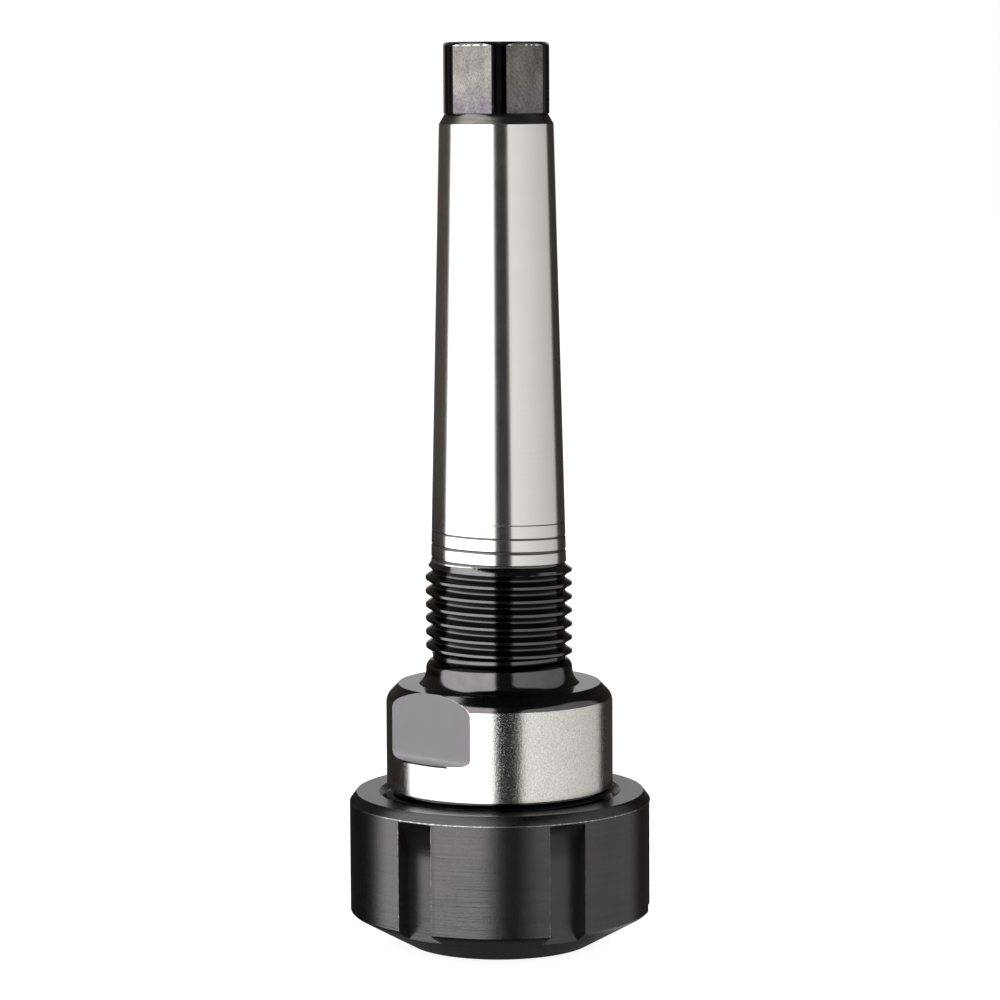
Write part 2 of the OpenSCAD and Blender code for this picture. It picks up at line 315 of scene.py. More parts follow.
# The ring: radius = min(turned outline, flat distance / cos(angle from the flat's normal)). The flat's
# distance is 14 mm, more in the fillet at its foot, and its edge columns follow acos(distance / radius).
def ringRows(s, theta, flatEdge):
    blendZ = s["shoulderZ"] - s["bevel"] - s["blendR"] * math.sin(math.radians(s["blendTo"]))
    top = np.vstack([[s["ringR"], s["ringZ"]],
                     arcPoints(s["ringR"] - s["blendR"], blendZ, s["blendR"], 0, s["blendTo"], 24)])
    top = np.vstack([top, [top[-1, 0] - s["bevel"], s["shoulderZ"]]])
    foot, fillet = s["flatFoot"], s["flatFillet"]
    footRow = 9  # the rows up to this one have the ring's whole outline
    z = np.concatenate([np.append(np.linspace(s["ringZ"], foot - s["ledgeShadow"], footRow), foot),
                        foot + fillet * (1 - np.cos(np.radians(np.linspace(0, 90, 9)))),
                        np.linspace(foot + fillet, blendZ, 5)[1:],
                        np.linspace(blendZ, s["groundTop"], 5)[1:],
                        np.linspace(s["groundTop"], top[-2, 1], 7)[1:],
                        np.linspace(top[-2, 1], s["shoulderZ"], 7)[1:]])
    r = np.interp(z, top[:, 1], top[:, 0])
    up = np.clip(z - foot, 0, fillet)
    flatY = s["flatY"] + fillet - np.sqrt(fillet ** 2 - (fillet - up) ** 2)
    edge = np.degrees(np.arccos(np.clip(flatY / r, -1, 1)))
    edge[:footRow + 1] = np.linspace(flatEdge, edge[footRow], footRow + 1)
    flatY[:footRow + 1] = farOut
    bent = np.array([bendColumns(theta, 90, 180, [0, flatEdge, 90], [0, e, 90]) for e in edge])
    off = fromNormal(bent, 90, 180)
    cut = np.minimum(r[:, None], flatY[:, None] / np.cos(np.radians(off)))
    signed = fromNormal(faceMiddles(theta), 90, 180)
    finish = np.where(z[:, None] < s["groundTop"] - 1e-6, ground, black) * np.ones_like(theta, int)
    # painted shadow: under each wrench flat a band of the ring takes the black finish in place of ground
    ledgeShadow = np.abs(signed) < s["ledgeShadowShare"] * flatEdge
    finish[footRow - 1] = np.where(ledgeShadow, black, finish[footRow - 1])
    onFlat = (np.arange(len(z)) >= footRow)[:, None] & (np.abs(signed) < flatEdge)
    finish = np.where(onFlat, np.where(signed > flatEdge - s["flatWorn"], bright, blasted), finish)
    return {"theta": bent, "r": cut, "z": z[:, None] * np.ones_like(theta), "finish": finish}, edge[-1]


# The shoulder's face, the flare below the neck's widest height and the round above it. Over the first
# rows the wrench flats' edge columns go back to their places.
def neckRows(s, theta, flatEdge, edgeNow, backRows=28):
    start = math.degrees(math.asin((s["neckZ"] - s["shoulderZ"]) / s["flareR"]))
    flare = arcPoints(s["crestR"] + s["flareR"], s["neckZ"], s["flareR"], 180 + start, 180, 14)
    blend = s["blendR"] * (1 - math.cos(math.radians(s["blendTo"])))
    faceR = s["ringR"] - blend - s["bevel"] - s["faceInset"]
    face = linePoints((faceR, s["shoulderZ"]), flare[0], 6)
    end = math.degrees(math.acos((s["rootR"] - s["crestR"] + s["rimR"]) / s["rimR"]))
    rim = arcPoints(s["crestR"] - s["rimR"], s["neckZ"], s["rimR"], 0, end, 12)
    points = np.vstack([face, flare[1:], rim[1:], [s["rootR"], rim[-1, 1] + s["rimStep"]],
                        [s["rootR"], s["threadZ"]]])
    rows = turnedRows(points, theta, black)
    edge = np.interp(np.arange(len(points)), [0, backRows], [edgeNow, flatEdge])
    rows["theta"] = np.array([bendColumns(theta, 90, 180, [0, flatEdge, 90], [0, e, 90]) for e in edge])
    return rows


# The hexagon: radius = min(turned blank, flat / cos(angle from the flat's normal)), on a turned cone
# that ends within the flats. The blank has a bevel at its end, where the columns are bent so that one
# of them follows each edge.
def hexRows(s, theta, hexEdge, flatRows=9, bevelRows=11):
    knots = np.array([0, s["hexMiddle"], hexEdge - s["hexWorn"], hexEdge, 30])
    off = np.abs(fromNormal(faceMiddles(theta), s["hexAt"], 60))
    cone = linePoints((s["taperEndR"], s["taperEndZ"]), (s["hexR"] - s["hexConeIn"], s["hexZ"]), 5)
    parts = [turnedRows(cone, theta, coned)]

    def add(z, flatR, blankR, finish):
        z, blankR = np.broadcast_arrays(z, blankR)
        cut = np.degrees(np.arccos(np.clip(flatR / blankR, -1, 1))) / hexEdge
        bent = np.array([bendColumns(theta, s["hexAt"], 60, knots, [*(knots[:4] * c), 30]) for c in cut])
        flat = flatR / np.cos(np.radians(fromNormal(bent, s["hexAt"], 60)))
        parts.append({"theta": bent, "r": np.minimum(blankR[:, None], flat),
                      "z": z[:, None] * np.ones_like(theta), "finish": np.tile(finish, (len(z), 1))})

    onFlat = np.where(off < hexEdge, milled, black)
    flatZ = np.linspace(s["hexZ"] + s["hexFootRise"], s["hexBevelZ"], flatRows)
    add([s["hexZ"]], s["hexR"] - s["hexFootIn"], s["cornerR"] - s["cornerFootIn"],
        np.full_like(onFlat, black))
    add(flatZ, s["hexR"], s["cornerR"], onFlat)
    fall = (s["cornerR"] - s["hexBevelR"]) / (s["topZ"] - s["hexBevelZ"])
    up = (s["cornerR"] - s["hexR"]) / fall * np.linspace(0, 1, bevelRows) ** 0.7  # closer at the end
    worn = (off > hexEdge - s["hexWorn"]) & (off < hexEdge)
    add(s["hexBevelZ"] + up, s["hexR"], s["cornerR"] - fall * up, np.where(worn, bright, onFlat))
    last = turnedRows([(s["hexBevelR"], s["topZ"])], theta, black)
    last["theta"] = parts[-1]["theta"][-1:]
    return parts + [last]


# Half the width of the nose thread's groove at radius r: the root's half and the flank's spread
def noseHalf(s, r):
    return s["noseRootW"] / 2 + (r - s["noseRootR"]) * math.tan(math.radians(s["noseFlank"]))


# The body's whole skin, from the drill point of the clearance bore down and out over the nose, up the
# outside, and down the centre hole
def bodyGrid(s, step):
    theta, hexEdge, flatEdge = bodyColumns(s, step)
    slope = math.tan(math.radians(s["colletAngle"]))
    coneR = lambda z: s["colletR"] - (z - s["colletZ"]) * slope + s["seatGap"]
    tip = math.tan(math.radians(s["drillAngle"]))
    mouthR = coneR(s["noseZ"])
    within = np.vstack([[0, s["boreEnd"] + s["boreR"] / tip],
                        linePoints((s["boreR"], s["boreEnd"]), (s["boreR"], s["socketEnd"]), 3),
                        linePoints((coneR(s["socketEnd"]), s["socketEnd"]),
                                   (mouthR, s["noseZ"] + s["socketBevel"]), 4),
                        [mouthR + s["socketBevel"], s["noseZ"]]])
    chamferZ = s["noseZ"] + s["noseR"] - s["noseRootR"]
    reliefZ = s["ringZ"] - s["relief"]
    blank = ([s["noseZ"], chamferZ, reliefZ], [s["noseRootR"], s["noseR"], s["noseR"]])
    wide, (crestIn, crestDown, crestOut) = noseHalf(s, s["noseR"]), s["noseCrest"]
    nose = np.array([(0, s["noseRootR"]), (s["noseRootW"] / 2, s["noseRootR"]),
                     (wide - crestIn, s["noseR"] - crestDown), (wide + crestOut, s["noseR"]),
                     (s["nosePitch"] / 2, s["noseR"])])
    noseArgs = (nose, s["nosePitch"], 1, s["noseZ"] - s["nosePitch"] / 2, 0.0, black)
    ring, edgeNow = ringRows(s, theta, flatEdge)
    groove = grooveProfile(s["rootR"], s["crestR"], s["rootRound"], s["crestRound"], s["flank"], s["pitch"])
    shankBlank = ([s["threadZ"], s["leadZ"], s["taperZ"], s["taperEndZ"]],
                  [s["crestR"], s["crestR"], s["taperR"], s["taperEndR"]])
    shankArgs = (shankBlank, groove, s["pitch"], -1, s["rootZ"], s["rootAt"])
    taperZ = np.linspace(s["trackEnd"], s["taperEndZ"], 13)
    pilotZ = s["topZ"] - (s["mouthR"] - s["pilotR"]) / math.tan(math.radians(s["centreAngle"]))
    parts = [
        turnedRows(within, theta, inside),
        turnedRows([(s["noseRootR"] - s["noseInset"], s["noseZ"])], theta, black),
        threadRows(theta, s["noseZ"], chamferZ, blank, *noseArgs),
        threadRows(theta, chamferZ, reliefZ, blank, *noseArgs),
        turnedRows([(s["noseRootR"], reliefZ), (s["noseRootR"], s["ringZ"])], theta, black),
        ring,
        neckRows(s, theta, flatEdge, edgeNow),
        threadRows(theta, s["threadZ"], s["leadZ"], *shankArgs, black),
        threadRows(theta, s["leadZ"], s["taperZ"], *shankArgs, black),
        threadRows(theta, s["taperZ"], s["trackEnd"], *shankArgs, ground),
        turnedRows(np.column_stack([np.interp(taperZ, *shankBlank), taperZ]), theta, ground),
        *hexRows(s, theta, hexEdge),
        turnedRows([(s["hexBevelR"] - s["topInset"], s["topZ"]), (s["mouthR"], s["topZ"]),
                    (s["pilotR"], pilotZ), (s["pilotR"], s["pilotZ"]),
                    (0, s["pilotZ"] - s["pilotR"] / tip)], theta, inside),
    ]
    grid = {k: np.vstack([p[k] for p in parts]) for k in ("theta", "r", "z", "finish")}
    t = np.radians(grid["theta"])
    return np.dstack([grid["r"] * np.cos(t), grid["r"] * np.sin(t), grid["z"]]), grid["finish"]


# A grid of points, rows by columns, made a closed skin. Four neighbours make a face, the last row meets
# the first where rows wrap, and points that fall together are welded, which closes the seam, the poles
# and every collapsed strip. Edges sharper than `sharp` degrees stay sharp.
def skinFromGrid(name, points, finish, materials, wrapRows, sharp=20, weld=0.002, sliver=0.0005):
    rows, cols = points.shape[:2]
    i, j = np.meshgrid(np.arange(rows if wrapRows else rows - 1), np.arange(cols - 1), indexing="ij")
    i2, j2 = (i + 1) % rows, j + 1
    quads = np.stack([i * cols + j, i * cols + j2, i2 * cols + j2, i2 * cols + j], -1).reshape(-1, 4)
    mesh = bpy.data.meshes.new(name)
    mesh.from_pydata((points.reshape(-1, 3) * mm).tolist(), [], quads.tolist())
    for material in materials:
        mesh.materials.append(material)
    mesh.polygons.foreach_set("material_index", finish[i, j].ravel().astype(np.int32))
    skin = bmesh.new()
    skin.from_mesh(mesh)
    bmesh.ops.remove_doubles(skin, verts=skin.verts, dist=weld * mm)
    bmesh.ops.dissolve_degenerate(skin, dist=sliver * mm, edges=skin.edges)
    loose = sum(1 for e in skin.edges if len(e.link_faces) != 2)
    skin.to_mesh(mesh)
    skin.free()
    mesh.polygons.foreach_set("use_smooth", np.ones(len(mesh.polygons), bool))
    mesh.set_sharp_from_angle(angle=math.radians(sharp))
    mesh.update()
    piece = bpy.data.objects.new(name, mesh)
    bpy.context.scene.collection.objects.link(piece)
    tris = sum(len(p.vertices) - 2 for p in mesh.polygons)
    print(name, "faces", len(mesh.polygons), "triangles", tris, "open edges", loose)
    return piece


# Ground steel: bright metal with faint grinding lines round the axis. Over the taper the last turns of
# the thread show as dark lines where the distance from the root line is under the groove's half width.
def makeGround(s):
    material, finish = startFinish("groundSteel")
    x, y, z = placeOn(finish)
    angle = placeRound(finish, x, y)[1]
    lines = grain(finish, (0.05, 0.05, 8.0), 3.0, 0.6)
    slow = grain(finish, (0.12, 0.12, 0.25), 2.0, 0.5, 3.0)
    speck = grain(finish, (4.5, 4.5, 4.5), 3.0, 0.7, 7.0)
    onRing = rise(z, s["shoulderZ"] + 0.5, s["shoulderZ"] - 0.5)
    tone = 0.94 + 0.05 * lines + 0.05 * slow + onRing * ((speck - 0.5) * 1.3 - 0.03)
    steel = shade(finish, (0.63, 0.615, 0.595), tone)
    turn = (z - s["rootZ"] + s["pitch"] * ((angle - math.radians(s["rootAt"])) / (2 * math.pi))) / s["pitch"]
    away = abs(fromWhole(turn)) * s["pitch"]
    taperR = s["taperR"] - (z - s["taperZ"]) * s["taperSlope"]
    depth = finish.calc("MAXIMUM", taperR - s["rootR"], 0.0)
    reach = finish.calc("SQRT", finish.calc("MAXIMUM", s["trackR"] ** 2 - (s["trackR"] - depth) ** 2, 0.0))
    onTaper = rise(z, s["taperZ"] - 0.1, s["taperZ"])
    track = rise(away - reach, 0.03, -0.03) * onTaper * rise(depth, 0.0, 0.02)
    colour = mixColour(finish, track * 0.92, steel, (0.05, 0.045, 0.045))
    rough = 0.125 + 0.04 * slow + onRing * (-0.01 + 0.1 * rise(speck, 0.5, 0.68)) + track * 0.2
    endFinish(finish, colour, rough, lines * 0.5 + onRing * speck * 3.5, 0.0035)
    return material


# Gloss black oxide on the thread, neck and nose: a dark metal with a little uneven gloss and scratches.
# Painted shade darkens it in the thread's flanks and root, at the neck's rim, in a band under each wrench
# flat's ledge and beside the hexagon's flats; over the lead it is a little lighter.
def makeBlack(s):
    material, finish = startFinish("blackOxideGloss")
    x, y, z = placeOn(finish)
    radius, angle = placeRound(finish, x, y)
    cloud = grain(finish, (0.5, 0.5, 0.5), 3.0, 0.6, 1.0)
    fine = grain(finish, (0.4, 0.4, 9.0), 2.0, 0.6, 4.0)
    scratch = rise(grain(finish, (1.2, 1.2, 0.6), 4.0, 0.8, 9.0), 0.66, 0.72)
    # painted shade in the thread's grooves: the flanks and the root are darkened by radius
    rootFrom, rootTo, crest = s["rootR"] + 0.05, s["rootR"] + 0.14, s["crestR"]
    onFlank = rise(radius, rootFrom, rootTo) * rise(radius, crest - 0.015, crest - 0.05)
    inRoot = rise(radius, rootTo, rootFrom)
    onThread = rise(z, s["threadZ"] - 0.1, s["threadZ"]) * rise(z, s["leadZ"], s["leadZ"] - 0.1)
    onLead = rise(z, s["leadZ"], s["leadZ"] + 0.05) * rise(z, s["taperZ"] + 2, s["taperZ"] + 1)
    # painted shade: a dark band round the neck's rim and a fainter dark line at its top
    rimShade = hump(z, s["rimMiddle"], 0.42, 0.1) + hump(z, s["rimTop"], 0.03, 0.06) * 0.6
    # painted shadow: the band under each wrench flat's ledge is darkened almost to black
    inLedgeShadow = hump(z, s["flatFoot"] - s["ledgeShadow"] / 2, s["ledgeShadow"], 0.02)
    # painted shade: the hexagon's black corners are darkened away from their middles, beside the flats
    sixths = angle * (3 / math.pi) - s["hexAt"] / 60 - 0.5 + 20.0  # a whole number at each corner
    fromCorner = abs(fromWhole(abs(sixths))) * 60.0
    shadeBesideFlat = rise(z, s["hexZ"], s["hexZ"] + 0.05) * rise(fromCorner, 1.5, 3.5)
    paintedShade = 1 - onThread * (onFlank * 0.58 + inRoot * 0.22) + onLead * 0.2
    paintedShade = paintedShade - rimShade * 0.95 - inLedgeShadow * 0.85 - shadeBesideFlat * 0.9
    oxide = shade(finish, (0.103, 0.0965, 0.102), (0.8 + 0.4 * cloud) * paintedShade)
    colour = mixColour(finish, scratch * 0.25, oxide, (0.3, 0.28, 0.25))
    rough = 0.085 + 0.05 * cloud + 0.1 * scratch
    endFinish(finish, colour, rough, fine + cloud * 0.5, 0.003)
    return material


# Milled flats of the hexagon: pale steel with the arcs that an end mill leaves, which are a sine of the
# distance from its centre, a violet-blue film of heat near the foot, and a dark end with bright nicks
# along its edge
def makeMilled(s):
    material, finish = startFinish("milledSteel")
    x, y, z = placeOn(finish)
    sweep = finish.calc("SQRT", (x + y * 0.2 - s["millX"]) ** 2.0 + (z - s["millZ"]) ** 2.0)
    arcs = finish.calc("SINE", (sweep + grain(finish, (0.3, 0.3, 0.3), 2.0, 0.5, 2.0) * 0.6) * 21.0)
    cloud = grain(finish, (0.35, 0.35, 0.2), 3.0, 0.6, 5.0)
    fine = grain(finish, (3.5, 3.5, 3.5), 3.0, 0.7, 3.0)
    patch = rise(cloud, 0.42, 0.62)
    film = rise(z + cloud * 4.0, s["hexZ"] + 6.2, s["hexZ"] + 2.2) * 0.7
    tone = 0.11 * arcs * patch + 1.4 * cloud + 1.3 * fine - 0.5
    pale, violet = (shade(finish, c, tone) for c in ((0.165, 0.155, 0.145), (0.14, 0.128, 0.155)))
    colour = mixColour(finish, film, pale, violet)
    dashes = rise(grain(finish, (1.3, 1.3, 1.3), 3.0, 0.7, 8.0), 0.47, 0.6)
    nicks = hump(z, s["hexBevelZ"] + 0.03, 0.05, 0.06) * dashes
    onEnd = rise(z, s["hexBevelZ"] + 0.09, s["hexBevelZ"] + 0.15)
    colour = mixColour(finish, onEnd, colour, (0.06, 0.056, 0.06))
    colour = mixColour(finish, nicks * 0.85, colour, (0.75, 0.74, 0.72))
    endFinish(finish, colour, 0.30 + 0.1 * cloud, arcs * patch + fine, 0.002)
    return material


# The cone below the hexagon: half oxidised steel with scratches round the axis
def makeConed():
    material, finish = startFinish("conedSteel")
    lines = grain(finish, (0.5, 0.5, 7.0), 4.0, 0.7, 2.0)
    colour = shade(finish, (0.125, 0.118, 0.108), 0.1 + 1.8 * lines)
    endFinish(finish, colour, 0.3, lines, 0.004)
    return material


# Blasted wrench flats: matte grey with a fine grain, paler in the fillet at the foot
def makeBlasted(s):
    material, finish = startFinish("blastedSteel")
    z = placeOn(finish)[2]
    fine = grain(finish, (7.0, 7.0, 7.0), 2.0, 0.6)
    onFoot = hump(z, s["flatFoot"] + 0.3, 0.12, 0.3)
    slow = grain(finish, (0.25, 0.25, 0.25), 2.0, 0.5, 6.0)
    colour = shade(finish, (0.2, 0.192, 0.2), 0.85 + 0.18 * fine + 0.12 * slow + 0.3 * onFoot)
    endFinish(finish, colour, 0.46 + 0.08 * fine, fine, 0.006, 0.1)
    return material


# Edges worn bright: steel that shows in short dashes, from noise along the edge
def makeBright():
    material, finish = startFinish("brightEdge")
    dash = rise(grain(finish, (2.2, 2.2, 2.2), 3.0, 0.7, 8.0), 0.42, 0.6)
    colour = mixColour(finish, dash, (0.3, 0.29, 0.29), (0.85, 0.84, 0.82))
    endFinish(finish, colour, 0.4)
    return material


# The socket, the bores and the hexagon's end: plain turned steel
def makeInside():
    material, finish = startFinish("boredSteel")
    lines = grain(finish, (0.1, 0.1, 5.0), 3.0, 0.6)
    endFinish(finish, shade(finish, (0.42, 0.4, 0.38), 0.8 + 0.4 * lines), 0.34, lines, 0.01, 0.6)
    return material


print("making the body")
bodyFinishes = [makeBlack(bodySize), makeGround(bodySize), makeMilled(bodySize), makeConed(),
                makeBlasted(bodySize), makeBright(), makeInside()]
bodyPoints, bodyFinish = bodyGrid(bodySize, 1.8)
body = skinFromGrid("chuckBodySkin", bodyPoints, bodyFinish, bodyFinishes, False)
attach(body, "chuck")
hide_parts("chuck_body")

# The clamping nut: sizes as in the part's source, in millimetres and degrees
nutSize = {
    "r": 21.0, "h": 21.3, "faceR": 12.85, "cone": 29.0, "edge": 0.36, "bevelW": 0.87, "bevelH": 1.25,
    "round": 0.03, "roundZ": 0.04, "footEdgeZ": 4.69, "topRowR": 18.6,
    "slotW": 5.35, "floorR": 18.35, "cutterR": 8.0, "slotTurnZ": 14.0, "slotAt": -82.0, "slots": 6,
    "slotEndZ": 19.9, "boreR": 16.0, "chamfer": 0.9, "ridgeR": 15.2, "ridgeFoot": 8.05, "ridgePlay": 0.06,
    "mouthR": 10.658, "recess": 0.5, "press": 30.0, "roomR": 12.95,
    "lipZ": 5.1473, "lipTop": 6.8473, "lipR": 12.0, "lipShift": 0.9,
}
nutPlain, nutSlot, nutInside = range(3)  # the nut's finishes, in slot order


# Rows of the nut's inner thread, upwards: ridges that stand in the grooves of the nose with a little
# play. The rows of an outside thread take the smaller radius, so all radii are negative in between.
def nutThread(s, nose, theta):
    half = lambda r: noseHalf(nose, r) - s["ridgePlay"]
    ridge = np.array([(0, -s["ridgeR"]), (half(s["ridgeR"]), -s["ridgeR"]), (half(s["boreR"]), -s["boreR"]),
                      (nose["nosePitch"] / 2, -s["boreR"])])
    deep, top = s["boreR"] - s["ridgeR"], s["h"] - s["chamfer"]
    blank = ([s["ridgeFoot"], s["ridgeFoot"] + deep, top - deep, top],
             [-s["boreR"], -s["ridgeR"], -s["ridgeR"], -s["boreR"]])
    rows = threadRows(theta, s["ridgeFoot"], top, blank, ridge, nose["nosePitch"], 1,
                      nose["noseZ"] - nose["nosePitch"] / 2, 0.0, nutInside)
    t = np.radians(rows["theta"])
    return np.dstack([-rows["r"] * np.cos(t), -rows["r"] * np.sin(t), rows["z"]]), rows["finish"]


# The nut's outline as (r, z) rows: up the outside, over the top to the bore's thread, which goes in
# after the second row of the bore, and down the inside to the mouth
def nutOutline(s):
    coneR = np.linspace(s["faceR"], s["r"] - s["edge"], 13)
    nearFloor = [18.35, 18.4, 18.45, 18.5, 18.547]  # rows close together where the slots' floors come out
    coneR = np.unique(np.concatenate([coneR, nearFloor]))
    coneZ = (coneR - s["faceR"]) * math.tan(math.radians(s["cone"]))
    turnZ, wallZ, bevelZ = s["slotTurnZ"], coneZ[-1] + s["edge"] + s["roundZ"], s["h"] - s["bevelH"]
    outZ = turnZ + math.sqrt(s["cutterR"] ** 2 - (s["floorR"] + s["cutterR"] - s["r"]) ** 2)
    upper = turnZ + (outZ - turnZ) * np.sin(np.radians(np.linspace(0, 90, 17)))
    outer = list(zip(coneR, coneZ)) + [(s["r"] - 0.05, coneZ[-1] + s["edge"] * 0.8)]
    outer += [(s["r"], z) for z in [*np.linspace(wallZ, turnZ, 7), *upper[1:], bevelZ - s["round"]]]
    outer += [(s["r"] - s["round"], bevelZ + s["roundZ"])]
    bevelR = s["r"] - s["bevelW"]
    top = [(bevelR - s["round"], s["h"] - s["roundZ"]), (bevelR - s["round"] - s["roundZ"], s["h"]),
           (s["topRowR"], s["h"]), (s["boreR"] + s["chamfer"], s["h"])]
    bore = [(s["boreR"], z) for z in (s["h"] - s["chamfer"], s["ridgeFoot"], s["lipTop"])]
    lip = [(s["lipR"], s["lipTop"]), (s["lipR"], s["lipZ"])]
    pressZ = s["recess"] + (s["roomR"] - s["mouthR"]) / math.tan(math.radians(s["press"]))
    back = [(s["roomR"], s["lipZ"]), (s["roomR"], pressZ), (s["mouthR"], s["recess"]), (s["mouthR"], 0.0)]
    return outer, top, bore, lip, back


# The nut as a ring of rows and columns. In a slot a column has a place y across the slot and a share t
# of the wall: x = mix(min(floor, outside), outside, t). Between slots the columns share the arc evenly.
def nutGrid(s, nose, landSteps, floorColumns=9, wallColumns=3):
    half = s["slotW"] / 2
    wall = np.linspace(0, 1, wallColumns + 1)[1:]
    y = np.concatenate([[-half] * wallColumns, np.linspace(-half, half, floorColumns), [half] * wallColumns,
                        np.full(landSteps - 1, np.nan)])
    t = np.concatenate([wall[::-1], np.zeros(floorColumns), wall, np.zeros(landSteps - 1)])
    land = np.concatenate([np.zeros(floorColumns + 2 * wallColumns), np.arange(1, landSteps) / landSteps])
    inSlot = ~np.isnan(y)
    y = np.where(inSlot, y, 0.0)
    outer, top, bore, lip, back = nutOutline(s)
    rz = np.array(outer + top + bore + lip + back)
    r, z = rz[:, :1], rz[:, 1:]
    row = np.arange(len(rz))[:, None]
    above = np.clip(z - s["slotTurnZ"], 0, s["cutterR"] - 1e-6)
    floor = s["floorR"] + s["cutterR"] - np.sqrt(s["cutterR"] ** 2 - above ** 2)
    floor = np.where(row < len(outer), floor, farOut)
    outside = np.sqrt(r ** 2 - y ** 2)
    x = np.minimum(floor, outside) * (1 - t) + outside * t
    edgeAngle = np.arcsin(half / r)
    landAngle = edgeAngle + land * (2 * math.pi / s["slots"] - 2 * edgeAngle)
    px = np.where(inSlot, x, r * np.cos(landAngle))
    py = np.where(inSlot, y, r * np.sin(landAngle))
    cut = (floor < outside - 1e-6) & inSlot
    turns = np.radians(s["slotAt"] + 360 / s["slots"] * np.arange(s["slots"]))
    grid = np.concatenate([np.dstack([px * math.cos(a) - py * math.sin(a),
                                      px * math.sin(a) + py * math.cos(a),
                                      np.broadcast_to(z, px.shape)]) for a in turns], axis=1)
    firstInside = len(outer) + len(top)
    firstLip = firstInside + len(bore)
    grid[firstLip:firstLip + len(lip), :, 0] += s["lipShift"]
    finish = np.where(row >= firstInside, nutInside, np.where(cut, nutSlot, nutPlain))
    finish[-1] = nutPlain
    finish = np.tile(finish, (1, s["slots"]))
    grid, finish = (np.concatenate([a, a[:, :1]], axis=1) for a in (grid, finish))
    foot = firstInside + 1  # the row at the thread's foot
    theta = np.degrees(np.unwrap(np.arctan2(grid[foot, :, 1], grid[foot, :, 0])))
    thread, threadFinish = nutThread(s, nose, theta)
    return (np.concatenate([grid[:foot], thread[::-1], grid[foot:]]),
            np.concatenate([finish[:foot], threadFinish[::-1], finish[foot:]]))


# Satin black oxide of the nut: turned lines about 0.25 mm apart, a painted highlight with worn dashes along
# the top bevel's edge, worn dashes at the outside's foot and along the slots, and painted shade on the bevel
def makeNutFinish(s, name, oxide, metallic):
    material, finish = startFinish(name)
    x, y, z = placeOn(finish)
    radius, angle = placeRound(finish, x, y)
    lines = grain(finish, (0.06, 0.06, 3.6), 2.0, 0.55, 2.0)
    fine = grain(finish, (5.0, 5.0, 5.0), 2.0, 0.6, 5.0)
    cloud = grain(finish, (0.2, 0.2, 0.2), 2.0, 0.5, 1.0)
    dash = rise(grain(finish, (2.6, 2.6, 2.6), 4.0, 0.75, 3.0), 0.48, 0.62)
    colour = shade(finish, oxide, 0.48 + 0.34 * lines + 0.5 * fine + 0.2 * cloud)
    bevelZ, bevelR, period = s["h"] - s["bevelH"], s["r"] - s["bevelW"], 2 * math.pi / s["slots"]
    onOutside = rise(radius, s["r"] - 0.12, s["r"] - 0.04)
    # painted highlight: a steady pale line along the top bevel's edge, with brighter worn dashes on it
    topEdgeHighlight = hump(z, bevelZ, 0.03, 0.05) * onOutside * (0.25 + 0.6 * dash)
    footEdge = hump(z, s["footEdgeZ"], 0.03, 0.05) * onOutside * dash * 0.2
    fromSlot = fromWhole((angle - math.radians(s["slotAt"])) / period) * period
    across = abs(radius * finish.calc("SINE", fromSlot))
    inReach = rise(z, s["slotEndZ"], s["slotEndZ"] - 0.4)
    slotEdge = hump(across, s["slotW"] / 2, 0.03, 0.05) * onOutside * inReach * dash * 0.35
    # painted shade: the top bevel is a quarter darker
    bevelShade = rise(z, bevelZ + 0.02, bevelZ + 0.12) * rise(radius, bevelR - 0.05, bevelR)
    colour = shade(finish, colour, 1 - 0.25 * bevelShade)
    # the pale colour goes where there is wear and where the painted highlight lies
    wearAndHighlight = finish.calc("MAXIMUM", topEdgeHighlight, finish.calc("MAXIMUM", footEdge, slotEdge))
    colour = mixColour(finish, wearAndHighlight, colour, (0.62, 0.6, 0.58))
    endFinish(finish, colour, 0.19 + 0.08 * fine, lines + fine * 0.8, 0.03, metallic)
    return material


# The nut's inside: the same oxide, with faint turned lines
def makeNutInside():
    material, finish = startFinish("nutThread")
    lines = grain(finish, (0.1, 0.1, 5.0), 3.0, 0.6, 6.0)
    endFinish(finish, (0.066, 0.062, 0.065), 0.25, lines, 0.004)
    return material


print("making the nut")
nutFinishes = [makeNutFinish(nutSize, "blackOxideSatin", (0.068, 0.064, 0.067), 1.0),
               makeNutFinish(nutSize, "blackOxideSlot", (0.056, 0.052, 0.055), 0.75), makeNutInside()]
nutPoints, nutFinish = nutGrid(nutSize, bodySize, 28)
nut = skinFromGrid("clampingNutSkin", nutPoints, nutFinish, nutFinishes, True)
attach(nut, "nut")
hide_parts("clamping_nut")


# Spring steel of the collet: ground cones with fine lines round the axis
def makeCollet():
    material, finish = startFinish("springSteel")
    lines = grain(finish, (0.08, 0.08, 6.0), 3.0, 0.6)
    cloud = grain(finish, (0.3, 0.3, 0.3), 2.0, 0.5, 4.0)
    colour = shade(finish, (0.66, 0.65, 0.62), 0.85 + 0.15 * lines + 0.1 * cloud)
    endFinish(finish, colour, 0.22 + 0.1 * cloud, lines, 0.004)
    return material


print("dressing the collet")
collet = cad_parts["collet"]
collet.data.materials.clear()
collet.data.materials.append(makeCollet())

